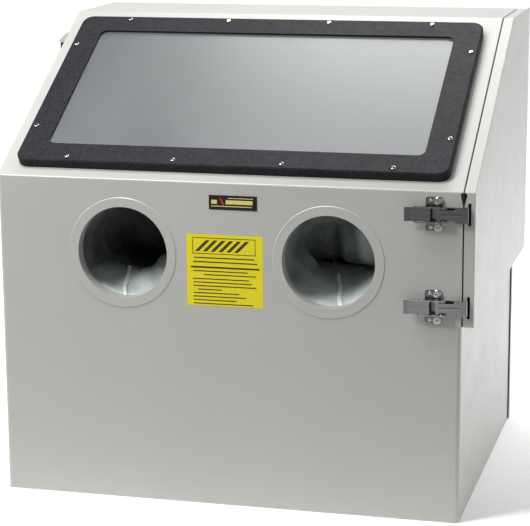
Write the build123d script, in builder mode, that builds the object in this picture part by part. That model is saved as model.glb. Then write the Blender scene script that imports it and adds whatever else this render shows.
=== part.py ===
from build123d import *
import os
from math import atan2, cos, radians, sin, sqrt, tan

# Bench-top sandblast cabinet with a sloping window, two arm ports and a side door.
# X runs from left to right, Y from front to rear and Z up. The origin is the centre of
# the flat base. All lengths are in millimetres.

# ---- driving dimensions: body -------------------------------------------------------
WIDTH = 660.0                # outside width of the cabinet body
DEPTH = 520.0                # front face to rear face
HEIGHT = 660.0               # base to top
BEND_HEIGHT = 462.0          # top of the upright front, where the slope starts
SLOPE_RUN = 354.0            # horizontal length of the slope
SHEET = 1.5                  # sheet metal thickness
RETURN = 14.0                # width of the folded edges that join two sheets
REAR_RETURN = 30.0           # width of the sides' folded rear edges
REAR_RETURN_SPAN = (20.0, 640.0)       # their lower and upper ends
CORNER_RADIUS = 6.0          # outside radius of the folded upright corners
FOLD_RADIUS = 3.0            # outside radius of the two folds across the width
BACK_PROUD = 1.8             # how far the back panel's folded edges stand out at the sides
BACK_SCREWS = 6              # screws up each side of the back panel
BACK_SCREW_START = 60.0      # height of the lowest ones
BACK_SCREW_PITCH = 113.0
BACK_SCREW_RADIUS = 2.2
BACK_SEAL = 5.0              # width of the seal in front of the back panel's folded edges
FLOOR_RIM = 20.0             # height of the floor pan's rim

# ---- driving dimensions: door -------------------------------------------------------
DOOR_BOTTOM = 278.0          # height of the door's lower edge
DOOR_PROUD = 16.8            # how far the door stands out from the side
DOOR_OVERHANG = 24.0         # how far the door reaches behind the rear face
DOOR_GAP = 2.2               # gasket gap between the side and the door's folded edge
DOOR_RIM = 22.0              # width of the side panel left around the door opening
DOOR_RIM_REAR = 30.0         # the same at the opening's rear edge
DOOR_CORNER = 12.0           # corner radius of the opening at its folds
DOOR_GASKET = 12.5           # width of the door gasket
DOOR_CHANNEL = 14.0          # width of the stiffening channel near the door's rear edge
DOOR_SLOT = (4.0, 28.0)      # width and height of the slots that take the draw plates
DOOR_SLOT_X = 339.2
RELIEF_HEIGHT = 17.0         # tapered relief cut where the seam meets the fold
RELIEF_WIDTH = 3.4           # its width at the top, in the body and again in the door

HINGE_X = 341.8              # hinge pin, just inside the door's outer sheet
KNUCKLE_RADIUS = 3.2
LEAF_THICKNESS = 1.2
LEAF_START = 312.0           # inner edge of the leaf on the body
HINGE_BOTTOM = 292.0
KNUCKLE_COUNT = 14
KNUCKLE_LENGTH = 25.6
KNUCKLE_GAP = 0.3
PIN_RADIUS = 1.5             # pins of the hinge, the latches and the trigger
RUNNING_FIT = 0.05           # radial clearance of everything that turns on a pin

# ---- driving dimensions: arm ports --------------------------------------------------
ARM_SPACING = 294.0          # between the arm port centres
ARM_HEIGHT = 358.0           # height of the arm port centres
ARM_RADIUS = 65.0            # inside radius of the arm ports
ARM_DEPTH = 18.0             # how far the arm collars reach inside
ARM_RIM_RADIUS = 78.5        # outside radius of the pressed ring around each port
ARM_RIM_RISE = 1.0
# Glove sections as distance from the front, height, downward tilt, half width and half
# height. The sleeve is hollow, and so is the wrist, which is the hand's first section.
SLEEVE = [
    (4, 358, 0, 68.2, 68.2),
    (22, 358, 0, 68.0, 68.0),
    (60, 356.5, 0, 66, 65.5),
    (110, 352, 6, 62, 60),
    (165, 339, 16, 55, 50),
]
HAND = [
    (215, 326, 12, 46, 36),
    (262, 319, 4, 46, 24),
    (310, 317, 0, 54, 21),
    (352, 316, 0, 46, 17),
    (384, 315, 0, 26, 10),
]
GLOVE_THICKNESS = 1.6
CLAMP_START = 5.0            # from the front face to the band around each sleeve
CLAMP_WIDTH = 11.0
CLAMP_RADIUS = 68.8          # inside of the band
CLAMP_SCREW = (18.0, 8.0)    # width and height of the band's screw block

# ---- driving dimensions: window -----------------------------------------------------
WINDOW_WIDTH = 616.5         # outside of the window frame
WINDOW_LENGTH = 354.5        # outside of the window frame, up the slope
WINDOW_START = 19.5          # from the front fold to the frame, up the slope
WINDOW_STRIP = 38.3          # width of the frame's bars
FRAME_CORNER = 17.0          # outside corner radius of the frame
VIEW_CORNER = 11.0           # inside corner radius of the frame
FRAME_DEPTH = 14.0           # thickness of the window frame
FRAME_LIP = 3.2              # thickness of the frame where it covers the glass
FRAME_CHAMFER = 1.6
GASKET_THICKNESS = 5.8       # window gasket
GLASS_THICKNESS = 5.0
GLASS_COVER = 18.0           # how far the frame covers the glass
GLASS_CORNER = 8.0
WINDOW_RECESS = 3.0          # how far the cabinet's cut-out clears the view on every side
FRAME_SCREW_EDGE = 9.0       # screw centres in from the frame's outer edge
FRAME_SCREW_PITCH = 155.0    # between screws along the long bars
FRAME_SCREW_SIDE = 101.0     # side screws above and below the frame's middle
FRAME_SCREW_RADIUS = 2.0
FRAME_SCREW_GRIP = 4.0       # how far the screws reach inside

# ---- driving dimensions: latches ----------------------------------------------------
LATCH_HEIGHTS = {"upper": 432.0, "lower": 305.0}
LEVER_PIVOT = (305.8, 9.0)   # X, and distance out from the front face
DRAW_PIVOT = (298.0, 7.5)    # the draw plate's pin, on the lever
LATCH_SHEET = 1.5
DRAW_WIDTH = 18.4            # draw plate at its eye, inside the lever
DRAW_HEAD = 21.4             # draw plate at its lip
WAIST_WIDTH = 13.4           # draw plate where it passes between the cheeks
DRAW_TIP = 337.9             # X of the draw plate's lip
DRAW_EYE = 3.0               # radius of the eye around the draw plate's pin
RIB_HEIGHT = 1.0             # half height of the rib pressed along the draw plate
CHEEK_WIDTH = 18.2           # outside of the base's two cheeks
CHEEK_RADIUS = 4.5           # rounded tops of the cheeks and ends of the lever's sides
LEVER_WIDTH = 21.6           # outside of the lever's two sides
LEVER_WEB = (253.0, 288.0)   # X limits of the web between them
WEB_DEPTH = 2.0              # how far the web lies below the sides' outer edges
BASE_EARS = (280.0, 302.5)   # X limits of the base's ears
BASE_HEIGHT = 46.0           # across both ears
BASE_TONGUE = (291.0, 327.0)           # X limits of its middle, under the draw plate
BASE_SCREW = (297.3, 18.0)   # X, and height above and below the latch's middle
BASE_RIVET = (287.5, 18.0)

# Domed heads as radius, height, edge radius and length of the cross recess, if any.
LATCH_SCREW_HEAD = (5.7, 2.6, 1.8, 6.4)
LATCH_SCREW_RADIUS = 2.5
LATCH_RIVET_HEAD = (2.8, 1.1, 0.9, 0.0)
LATCH_RIVET_RADIUS = 1.6
FRAME_SCREW_HEAD = (3.6, 1.9, 1.4, 3.8)
BACK_SCREW_HEAD = (4.4, 1.6, 1.0, 5.0)

# ---- driving dimensions: inside -----------------------------------------------------
HOPPER_MOUTH = 212.0         # height of the hopper's mouth, which fills the body
HOPPER_FLOOR = 26.0          # height of its flat bottom
HOPPER_TROUGH = (150.0, 110.0)         # width and depth of its flat bottom
HOPPER_CORNER = 8.0
LEG_SIZE = (16.0, 80.0)      # width and depth of the hopper's two legs
LEG_X = 60.0
LEDGE_TOP = 226.0            # the work grate rests here
LEDGE_WIDTH = 20.0
GRATE_SIZE = (636.0, 492.0)
GRATE_REST = 0.3             # gap between the grate and its ledges
GRATE_ROD_RADIUS = 2.5
GRATE_ACROSS = 8             # gaps between the lower rods, which run front to rear
GRATE_ALONG = 20             # gaps between the upper rods, which run side to side
LAMP_SIZE = (450.0, 60.0)    # width and depth of the lamp under the top
LAMP_Y = 170.0
LAMP_BOTTOM = 630.0
LENS_THICKNESS = 3.0
LAMP_TUBE_RADIUS = 7.5
LAMP_CAP = (9.0, 24.0)       # radius and length of the tube's end caps
PICKUP_RADIUS = 9.5
PICKUP_LENGTH = 160.0
PICKUP_Y = 20.0

# ---- driving dimensions: fittings ---------------------------------------------------
INTAKE_Y = 170.0             # centre of the air intake in the left side
INTAKE_Z = 614.0
INTAKE_SLOT = (84.0, 12.0)
INTAKE_HOOD = (45.0, 100.0, 15.0)      # how far out, along the side and how high
INTAKE_CHAMFER = 12.0
FILTER_DROP = 15.0           # how far the filter hangs below the hood
EXHAUST_X = 150.0            # centre of the dust outlet in the rear
EXHAUST_Z = 560.0
EXHAUST_RADIUS = 31.5
EXHAUST_FLANGE = 12.0
BAFFLE_SIZE = 100.0          # width and height of the baffle in front of the outlet
BAFFLE_DEPTH = 30.0
INLET_X = -250.0             # centre of the compressed air inlet in the rear
INLET_Z = 300.0
INLET_RADIUS = 6.5
GLAND_X = -180.0             # centre of the lamp cable's gland in the rear
GLAND_Z = 632.0
GLAND_RADIUS = 6.0
FITTING_REACH = 14.0         # how far both fittings reach inside
NAME_PLATE = ((13.5, 435.0), (68.0, 20.0), 0.6)        # centre, size and thickness
SAFETY_LABEL = ((1.0, 339.0), (109.0, 101.0), 0.2)

# ---- driving dimensions: blast gun --------------------------------------------------
# The gun hangs level on its holder at the rear wall, its nozzle to the right. In its
# own plane local x runs along the barrel and local y upwards.
GUN_PLACE = (0.0, 206.0, 455.0)
BARREL_RADIUS = 13.0
BARREL_HALF = 38.0
HANDLE_HALF = 10.0           # half thickness of the handle
HANDLE = ((-34, -6), (-10, -6), (-20, -96), (-44, -96))
TRIGGER_PIVOT = (8.0, -19.0)
TRIGGER_WIDTH = 11.0
TRIGGER_LINE = ((8, -19), (9, -40), (3, -62), (-2, -74))
TRIGGER_BRACKET = ((0, -8), (0, -24), (16, -24), (20, -8))
BRACKET_HALF = 8.5           # half thickness of the trigger's bracket
MEDIA_STEM_X = 29.0          # stub under the barrel for the media hose
AIR_STEM_X = -32.0           # stub under the handle for the air hose
NOZZLE_STEPS = ((0.0, 11.0, 12.0), (12.0, 8.0, 24.0))  # start, radius and length
NOZZLE_BORE = 3.5
FORK_X = (-6.0, 44.0)        # left faces of the holder's two forks
FORK_THICKNESS = 3.0
FORK_FIT = 0.3               # clearance between the forks and the barrel

# ---- places worked out from them ----------------------------------------------------
FRONT = -DEPTH / 2
REAR = DEPTH / 2
SIDE = WIDTH / 2
SIDE_REAR = REAR - SHEET     # rear edge of the side panels
INSIDE = SIDE - SHEET        # inner faces of the sides
INSIDE_REAR = SIDE_REAR - SHEET        # inner face of the sides' folded rear edges
BACK_HALF = SIDE + BACK_PROUD
SLOPE_ANGLE = atan2(HEIGHT - BEND_HEIGHT, SLOPE_RUN)
DOOR_OUTER = SIDE + DOOR_PROUD
DOOR_INNER = DOOR_OUTER - SHEET
DOOR_EDGE = SIDE + DOOR_GAP
DOOR_REAR = REAR + DOOR_OVERHANG
GASKET_REAR = REAR - RETURN - 2        # rear edge of the door gasket
HINGE_Y = REAR + KNUCKLE_RADIUS
HINGE_TOP = HINGE_BOTTOM + KNUCKLE_COUNT * KNUCKLE_LENGTH
BORE_RADIUS = PIN_RADIUS + RUNNING_FIT
ARM_CENTRES = {"left": -ARM_SPACING / 2, "right": ARM_SPACING / 2}
ARM_PLACES = [(x, ARM_HEIGHT) for x in ARM_CENTRES.values()]
GLASS_TOP = FRAME_DEPTH - FRAME_LIP
GLASS_INSET = 2 * (WINDOW_STRIP - GLASS_COVER)
GLASS_SIZE = (WINDOW_WIDTH - GLASS_INSET, WINDOW_LENGTH - GLASS_INSET)
VIEW_SIZE = (WINDOW_WIDTH - 2 * WINDOW_STRIP, WINDOW_LENGTH - 2 * WINDOW_STRIP)
CUTOUT_SIZE = (VIEW_SIZE[0] + 2 * WINDOW_RECESS, VIEW_SIZE[1] + 2 * WINDOW_RECESS)
CUTOUT_CORNER = VIEW_CORNER + WINDOW_RECESS + 1
GUN_X, GUN_Y, GUN_Z = GUN_PLACE

# On the front plane local x, y are X, Z, and on the rear plane -X, Z; both face outwards.
FRONT_PLANE = Plane.XZ.offset(-FRONT)
REAR_PLANE = Plane(origin=(0, REAR, 0), x_dir=(-1, 0, 0), z_dir=(0, 1, 0))
SLOPE_PLANE = Plane(
    origin=(0, FRONT, BEND_HEIGHT),
    x_dir=(1, 0, 0),
    z_dir=(0, -sin(SLOPE_ANGLE), cos(SLOPE_ANGLE)),
)
SLOPE_AXIS = Axis(SLOPE_PLANE.origin, SLOPE_PLANE.z_dir)
GUN_PLANE = Plane(origin=GUN_PLACE, x_dir=(1, 0, 0), z_dir=(0, -1, 0))
WINDOW_CENTRE = (0, WINDOW_START + WINDOW_LENGTH / 2)

os.makedirs("parts", exist_ok=True)


def save(piece, label):
    piece.part.label = label
    export_step(piece.part, f"parts/{label}.step")


# ---- shared shapes ------------------------------------------------------------------
def profile(inset, low, rear):
    """Side view of the cabinet as (Y, Z), drawn in evenly at front, slope and top."""
    fold = BEND_HEIGHT - inset * tan(radians(45) - SLOPE_ANGLE / 2)
    crest = FRONT + SLOPE_RUN + inset * tan(SLOPE_ANGLE / 2)
    return [
        (FRONT + inset, low),
        (FRONT + inset, fold),
        (crest, HEIGHT - inset),
        (rear, HEIGHT - inset),
        (rear, low),
    ]


def slab(points, x_start, thickness, fold_radius=0.0):
    """A plate parallel to the sides, from a (Y, Z) outline with two rounded folds."""
    with BuildPart() as plate:
        with BuildSketch(Plane.YZ.offset(x_start)):
            with BuildLine():
                FilletPolyline(*points, radius=(0, fold_radius, fold_radius, 0, 0), close=True)
            make_face()
        extrude(amount=thickness)
    return plate.part


def block(x_span, y_span, z_span):
    """A box between pairs of X, Y and Z limits."""
    with BuildPart() as box:
        with BuildSketch(Plane.XY.offset(z_span[0])):
            with Locations((sum(x_span) / 2, sum(y_span) / 2)):
                Rectangle(x_span[1] - x_span[0], y_span[1] - y_span[0])
        extrude(amount=z_span[1] - z_span[0])
    return box.part


def around(centre, width):
    """The limits of a span of that width about its centre."""
    return (centre - width / 2, centre + width / 2)


def inset_span(span, gap):
    """The same span, shorter by the gap at each end."""
    return (span[0] + gap, span[1] - gap)


def cabinet_form(inset, low, rear):
    """The cabinet's outer form as a solid, with its folds and upright corners rounded."""
    half = SIDE - inset
    radius = CORNER_RADIUS - inset
    with BuildPart() as form:
        add(slab(profile(inset, low, rear), -half, 2 * half, FOLD_RADIUS - inset))
        for side, top in ((-1, HEIGHT), (1, DOOR_BOTTOM)):
            with BuildSketch(Plane.XY.offset(low)):
                with Locations((side * (half - radius / 2), FRONT + inset + radius / 2)):
                    Rectangle(radius, radius)
                with Locations((side * (half - radius), FRONT + inset + radius)):
                    Circle(radius, mode=Mode.SUBTRACT)
            extrude(amount=top - low, mode=Mode.SUBTRACT)
    return form.part


def window_sketch(size, corner):
    """A rounded rectangle on the slope, centred on the window."""
    with BuildSketch(SLOPE_PLANE) as outline:
        with Locations(WINDOW_CENTRE):
            RectangleRounded(*size, corner)
    return outline.sketch


def relief(edge, side):
    """A tapered cut down from the fold, widening upwards from an edge to one side."""
    top = BEND_HEIGHT - 1
    with BuildPart() as cut:
        with BuildSketch(FRONT_PLANE.offset(1)):
            with BuildLine():
                Polyline(
                    (edge - side, top - RELIEF_HEIGHT),
                    (edge, top - RELIEF_HEIGHT),
                    (edge + side * RELIEF_WIDTH, top - 3),
                    (edge + side * RELIEF_WIDTH / 2, top),
                    (edge - side, top),
                    close=True,
                )
            make_face()
        extrude(amount=-6)
    return cut.part


def fasteners(plane, places, head, radius, length):
    """Domed heads standing on a plane, each with its shank reaching back through it."""
    head_radius, head_height, head_edge, cross = head
    with BuildPart() as group:
        with BuildSketch(plane):
            with Locations(*places):
                Circle(head_radius)
        extrude(amount=head_height)
        fillet(group.edges().group_by(Axis(plane.origin, plane.z_dir))[-1], head_edge)
        if cross:
            with BuildSketch(plane.offset(head_height)):
                with Locations(*places):
                    Rectangle(cross, 0.22 * cross)
                    Rectangle(0.22 * cross, cross)
            extrude(amount=-head_height / 2, mode=Mode.SUBTRACT)
        with BuildSketch(plane):
            with Locations(*places):
                Circle(radius)
        extrude(amount=-length)
    return group


def back_screw_places():
    """Screw centres on the rear plane, up the sides' folded rear edges."""
    x_edge = SIDE - REAR_RETURN + 6
    heights = [BACK_SCREW_START + BACK_SCREW_PITCH * k for k in range(BACK_SCREWS)]
    return [(x, z) for x in (-x_edge, x_edge) for z in heights]


def frame_screw_places():
    """Screw centres on the slope: four along each long bar and two on each short one."""
    x_edge = WINDOW_WIDTH / 2 - FRAME_SCREW_EDGE
    y_edge = WINDOW_LENGTH / 2 - FRAME_SCREW_EDGE
    steps = [FRAME_SCREW_PITCH * k for k in (-1.5, -0.5, 0.5, 1.5)]
    long_bars = [(x, y) for x in steps for y in (-y_edge, y_edge)]
    short_bars = [(x, y) for x in (-x_edge, x_edge) for y in (-FRAME_SCREW_SIDE, FRAME_SCREW_SIDE)]
    return [(x, y + WINDOW_CENTRE[1]) for x, y in long_bars + short_bars]


def latch_places(place):
    """Centres on the front plane above and below the middle of each latch."""
    return [(place[0], z + side * place[1]) for z in LATCH_HEIGHTS.values() for side in (-1, 1)]


# ---- cabinet body -------------------------------------------------------------------
right_sheet = slab(profile(SHEET, 0, SIDE_REAR), INSIDE, SHEET)
right_fold = block((0, SIDE), (FRONT, FRONT + RETURN), (-1, DOOR_BOTTOM))
body_relief = relief(SIDE, -1)

with BuildPart() as left_side_panel:
    add(slab(profile(RETURN, 0, SIDE_REAR), -SIDE, SHEET))
    add(block((-INSIDE, REAR_RETURN - SIDE), (INSIDE_REAR, SIDE_REAR), REAR_RETURN_SPAN))
    with BuildSketch(Plane.YZ.offset(-SIDE)):
        with Locations((INTAKE_Y, INTAKE_Z)):
            SlotOverall(*INTAKE_SLOT)
    extrude(amount=SHEET, mode=Mode.SUBTRACT)
save(left_side_panel, "left_side_panel")

with BuildPart() as right_side_panel:
    add(right_sheet)
    add(right_fold, mode=Mode.SUBTRACT)
    add(body_relief, mode=Mode.SUBTRACT)
    hole = profile(DOOR_RIM, DOOR_BOTTOM + DOOR_RIM, SIDE_REAR - DOOR_RIM_REAR)
    add(slab(hole, INSIDE, SHEET, DOOR_CORNER), mode=Mode.SUBTRACT)
    add(block((SIDE - REAR_RETURN, INSIDE), (INSIDE_REAR, SIDE_REAR), REAR_RETURN_SPAN))
save(right_side_panel, "right_side_panel")

# What the front sheet leaves free for the right side panel behind it.
with BuildPart() as right_cut:
    add(slab(profile(SHEET, -1, REAR), INSIDE, SHEET + 1))
    add(right_fold, mode=Mode.SUBTRACT)

# One sheet folded twice makes the front, the slope and the top.
with BuildPart() as front_wrap:
    add(cabinet_form(0, 0, SIDE_REAR))
    add(block((-SIDE, SIDE), (SIDE_REAR, REAR), (HEIGHT - SHEET, HEIGHT)))
    with BuildSketch(FRONT_PLANE):
        with Locations(*ARM_PLACES):
            Circle(ARM_RIM_RADIUS)
    extrude(amount=ARM_RIM_RISE, taper=45)
    add(cabinet_form(SHEET, -1, REAR + 1), mode=Mode.SUBTRACT)
    add(slab(profile(RETURN, -1, REAR), -SIDE - 1, SHEET + 1), mode=Mode.SUBTRACT)
    add(right_cut.part, mode=Mode.SUBTRACT)
    add(body_relief, mode=Mode.SUBTRACT)
    with BuildSketch(FRONT_PLANE.offset(2 * SHEET)):
        with Locations(*ARM_PLACES):
            Circle(ARM_RADIUS)
    extrude(amount=-4 * SHEET, mode=Mode.SUBTRACT)
    extrude(window_sketch(CUTOUT_SIZE, CUTOUT_CORNER), amount=2 * SHEET, both=True, mode=Mode.SUBTRACT)
    with BuildSketch(SLOPE_PLANE):
        with Locations(*frame_screw_places()):
            Circle(FRAME_SCREW_RADIUS)
    extrude(amount=2 * SHEET, both=True, mode=Mode.SUBTRACT)
save(front_wrap, "front_wrap")

with BuildPart() as back_panel:
    add(block((-BACK_HALF, BACK_HALF), (SIDE_REAR, REAR), (0, HEIGHT - SHEET)))
    for x in (-BACK_HALF, BACK_HALF - SHEET):
        add(block((x, x + SHEET), (REAR - RETURN, SIDE_REAR), (0, HEIGHT - CORNER_RADIUS)))
    with BuildSketch(REAR_PLANE):
        with Locations((-EXHAUST_X, EXHAUST_Z)):
            Circle(EXHAUST_RADIUS)
        with Locations((-INLET_X, INLET_Z)):
            Circle(INLET_RADIUS)
        with Locations((-GLAND_X, GLAND_Z)):
            Circle(GLAND_RADIUS)
        with Locations(*back_screw_places()):
            Circle(BACK_SCREW_RADIUS)
    extrude(amount=-SHEET, mode=Mode.SUBTRACT)
save(back_panel, "back_panel")

back_screws = fasteners(REAR_PLANE, back_screw_places(), BACK_SCREW_HEAD, BACK_SCREW_RADIUS, SHEET)
save(back_screws, "back_panel_screws")

# A soft bead in front of the back panel's folded edges seals it to the sides.
for name, x in (("left", -SIDE - SHEET), ("right", SIDE)):
    with BuildPart() as seal:
        bead_y = (REAR - RETURN - BACK_SEAL, REAR - RETURN)
        add(block((x, x + SHEET), bead_y, (2 * SHEET, DOOR_BOTTOM - 2 * SHEET)))
    save(seal, f"back_seal_{name}")

# ---- inside of the body -------------------------------------------------------------
with BuildPart() as floor_pan:
    add(block((-INSIDE, INSIDE), (FRONT + SHEET, INSIDE_REAR), (0, FLOOR_RIM)))
    fillet(floor_pan.edges().filter_by(Axis.Z).group_by(Axis.Y)[0], CORNER_RADIUS - SHEET)
    cavity_x = inset_span((-INSIDE, INSIDE), SHEET)
    cavity_y = inset_span((FRONT + SHEET, INSIDE_REAR), SHEET)
    add(block(cavity_x, cavity_y, (SHEET, FLOOR_RIM + 1)), mode=Mode.SUBTRACT)
save(floor_pan, "floor_pan")


def hopper_form(inset):
    """A funnel from the walls of the body down to the hopper's trough."""
    mouth = (2 * INSIDE, INSIDE_REAR - FRONT - SHEET)
    with BuildPart() as form:
        for height, size in ((HOPPER_MOUTH, mouth), (HOPPER_FLOOR, HOPPER_TROUGH)):
            with BuildSketch(Plane.XY.offset(height)):
                with Locations((0, -SHEET / 2)):
                    RectangleRounded(size[0] - 2 * inset, size[1] - 2 * inset, HOPPER_CORNER - inset)
        loft(ruled=True)
    return form.part


with BuildPart() as media_hopper:
    add(hopper_form(0))
    add(Pos(0, 0, 2 * SHEET) * hopper_form(SHEET), mode=Mode.SUBTRACT)
save(media_hopper, "media_hopper")

with BuildPart() as hopper_legs:
    for x in (-LEG_X, LEG_X):
        add(block(around(x, LEG_SIZE[0]), around(0, LEG_SIZE[1]), (SHEET, HOPPER_FLOOR)))
save(hopper_legs, "hopper_legs")

for name, wall, inward in (("front", FRONT + SHEET, 1), ("rear", INSIDE_REAR, -1)):
    lip = wall + inward * LEDGE_WIDTH
    fold = wall + inward * SHEET
    with BuildPart() as ledge:
        with BuildSketch(Plane.YZ):
            with BuildLine():
                Polyline(
                    (wall, LEDGE_TOP),
                    (lip, LEDGE_TOP),
                    (lip, LEDGE_TOP - SHEET),
                    (fold, LEDGE_TOP - SHEET),
                    (fold, HOPPER_MOUTH),
                    (wall, HOPPER_MOUTH),
                    close=True,
                )
            make_face()
        extrude(amount=GRATE_SIZE[0] / 2, both=True)
    save(ledge, f"grate_ledge_{name}")

# Two layers of welded rods, pressed a little into each other.
with BuildPart() as work_grate:
    lower = LEDGE_TOP + GRATE_REST + GRATE_ROD_RADIUS
    upper = lower + 1.6 * GRATE_ROD_RADIUS
    with BuildSketch(Plane.XZ.offset(SHEET - GRATE_SIZE[1] / 2)):
        with Locations((0, lower)):
            with GridLocations(GRATE_SIZE[0] / GRATE_ACROSS - 1, 1, GRATE_ACROSS + 1, 1):
                Circle(GRATE_ROD_RADIUS)
    extrude(amount=GRATE_SIZE[1])
    with BuildSketch(Plane.YZ.offset(-GRATE_SIZE[0] / 2)):
        with Locations((-SHEET, upper)):
            with GridLocations(GRATE_SIZE[1] / GRATE_ALONG - 1, 1, GRATE_ALONG + 1, 1):
                Circle(GRATE_ROD_RADIUS)
    extrude(amount=GRATE_SIZE[0])
save(work_grate, "work_grate")

# ---- window -------------------------------------------------------------------------
with BuildPart() as window_gasket:
    extrude(window_sketch(GLASS_SIZE, GLASS_CORNER), amount=GASKET_THICKNESS)
    extrude(window_sketch(CUTOUT_SIZE, CUTOUT_CORNER), amount=GASKET_THICKNESS, mode=Mode.SUBTRACT)
save(window_gasket, "window_gasket")

with BuildPart() as window_glass:
    extrude(window_sketch(GLASS_SIZE, GLASS_CORNER), amount=GASKET_THICKNESS + GLASS_THICKNESS)
    extrude(window_sketch(GLASS_SIZE, GLASS_CORNER), amount=GASKET_THICKNESS, mode=Mode.SUBTRACT)
save(window_glass, "window_glass")

with BuildPart() as window_frame:
    extrude(window_sketch((WINDOW_WIDTH, WINDOW_LENGTH), FRAME_CORNER), amount=FRAME_DEPTH)
    chamfer(window_frame.faces().sort_by(SLOPE_AXIS)[-1].edges(), FRAME_CHAMFER)
    extrude(window_sketch(VIEW_SIZE, VIEW_CORNER), amount=FRAME_DEPTH, mode=Mode.SUBTRACT)
    pocket = window_sketch((GLASS_SIZE[0] + 1, GLASS_SIZE[1] + 1), GLASS_CORNER + 0.5)
    extrude(pocket, amount=GLASS_TOP, mode=Mode.SUBTRACT)
    with BuildSketch(SLOPE_PLANE):
        with Locations(*frame_screw_places()):
            Circle(FRAME_SCREW_RADIUS)
    extrude(amount=FRAME_DEPTH, mode=Mode.SUBTRACT)
save(window_frame, "window_frame")

window_screws = fasteners(
    SLOPE_PLANE.offset(FRAME_DEPTH),
    frame_screw_places(),
    FRAME_SCREW_HEAD,
    FRAME_SCREW_RADIUS,
    FRAME_DEPTH + FRAME_SCREW_GRIP,
)
save(window_screws, "window_screws")

# ---- arm ports ----------------------------------------------------------------------
def glove_form(x, sections, shrink):
    """A sleeve or glove lofted through tilted ellipses."""
    with BuildPart() as form:
        for distance, height, tilt, half_width, half_height in sections:
            centre = (x, FRONT + distance, height)
            aim = (0, cos(radians(tilt)), -sin(radians(tilt)))
            with BuildSketch(Plane(origin=centre, x_dir=(1, 0, 0), z_dir=aim)):
                Ellipse(half_width - shrink, half_height - shrink)
        loft()
    return form.part


for name, x in ARM_CENTRES.items():
    with BuildPart() as arm_collar:
        for outer, depth in ((ARM_RIM_RADIUS, 2 * SHEET), (ARM_RADIUS + SHEET, ARM_DEPTH)):
            with BuildSketch(FRONT_PLANE.offset(-SHEET)):
                with Locations((x, ARM_HEIGHT)):
                    Circle(outer)
                    Circle(ARM_RADIUS, mode=Mode.SUBTRACT)
            extrude(amount=SHEET - depth)
    save(arm_collar, f"arm_collar_{name}")

    with BuildPart() as glove:
        add(glove_form(x, SLEEVE + HAND, 0))
        add(glove_form(x, SLEEVE + HAND[:1], GLOVE_THICKNESS), mode=Mode.SUBTRACT)
    save(glove, f"glove_{name}")

    with BuildPart() as glove_clamp:
        with BuildSketch(FRONT_PLANE.offset(-CLAMP_START)):
            with Locations((x, ARM_HEIGHT)):
                Circle(CLAMP_RADIUS + SHEET)
                Circle(CLAMP_RADIUS, mode=Mode.SUBTRACT)
        extrude(amount=-CLAMP_WIDTH)
        screw_y = (FRONT + CLAMP_START, FRONT + CLAMP_START + CLAMP_WIDTH)
        screw_z = ARM_HEIGHT + CLAMP_RADIUS + SHEET / 3
        add(block(around(x, CLAMP_SCREW[0]), screw_y, (screw_z, screw_z + CLAMP_SCREW[1])))
    save(glove_clamp, f"glove_clamp_{name}")

# ---- door ---------------------------------------------------------------------------
with BuildPart() as door_panel:
    outline = profile(0, DOOR_BOTTOM, DOOR_REAR)
    add(slab(outline, DOOR_EDGE, DOOR_OUTER - DOOR_EDGE, FOLD_RADIUS))
    fillet(door_panel.faces().sort_by(Axis.X)[-1].edges(), 0.8 * SHEET)
    cavity = profile(SHEET, DOOR_BOTTOM + SHEET, DOOR_REAR + 1)
    add(slab(cavity, DOOR_EDGE, DOOR_INNER - DOOR_EDGE, FOLD_RADIUS - SHEET), mode=Mode.SUBTRACT)
    open_end = block((DOOR_EDGE, DOOR_INNER), (REAR - 0.5, DOOR_REAR), (DOOR_BOTTOM, HEIGHT))
    add(open_end, mode=Mode.SUBTRACT)
    add(relief(DOOR_EDGE, 1), mode=Mode.SUBTRACT)
    with BuildSketch(FRONT_PLANE):
        with Locations(*[(DOOR_SLOT_X, height) for height in LATCH_HEIGHTS.values()]):
            Rectangle(*DOOR_SLOT)
            with GridLocations(1, DOOR_SLOT[1] - 2, 1, 2):
                Circle(0.6 * DOOR_SLOT[0])
    extrude(amount=-2 * SHEET, mode=Mode.SUBTRACT)
save(door_panel, "door_panel")

with BuildPart() as door_rear_channel:
    channel_rear = REAR - RETURN - 0.2 * DOOR_GASKET
    channel_y = (channel_rear - DOOR_CHANNEL, channel_rear)
    add(block((DOOR_EDGE, DOOR_INNER), channel_y, (DOOR_BOTTOM + 2 * SHEET, HEIGHT - 3 * SHEET)))
    hollow = block((DOOR_EDGE - 1, DOOR_INNER - SHEET), inset_span(channel_y, SHEET), (0, HEIGHT))
    add(hollow, mode=Mode.SUBTRACT)
save(door_rear_channel, "door_rear_channel")

# Stuck to the side panel; it ends just short of the door's folded edges.
with BuildPart() as door_gasket:
    seat = DOOR_GAP - 0.3
    add(slab(profile(0.4, DOOR_BOTTOM + 0.4, GASKET_REAR), SIDE, seat, FOLD_RADIUS))
    hole = profile(DOOR_GASKET, DOOR_BOTTOM + DOOR_GASKET, GASKET_REAR - DOOR_GASKET)
    add(slab(hole, SIDE, seat, DOOR_CORNER), mode=Mode.SUBTRACT)
save(door_gasket, "door_gasket")


def knuckles(first):
    """Every second knuckle of the hinge, from the one numbered first."""
    with BuildPart() as barrel:
        for k in range(first, KNUCKLE_COUNT, 2):
            with BuildSketch(Plane.XY.offset(HINGE_BOTTOM + k * KNUCKLE_LENGTH + KNUCKLE_GAP / 2)):
                with Locations((HINGE_X, HINGE_Y)):
                    Circle(KNUCKLE_RADIUS)
            extrude(amount=KNUCKLE_LENGTH - KNUCKLE_GAP)
    return barrel.part


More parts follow.
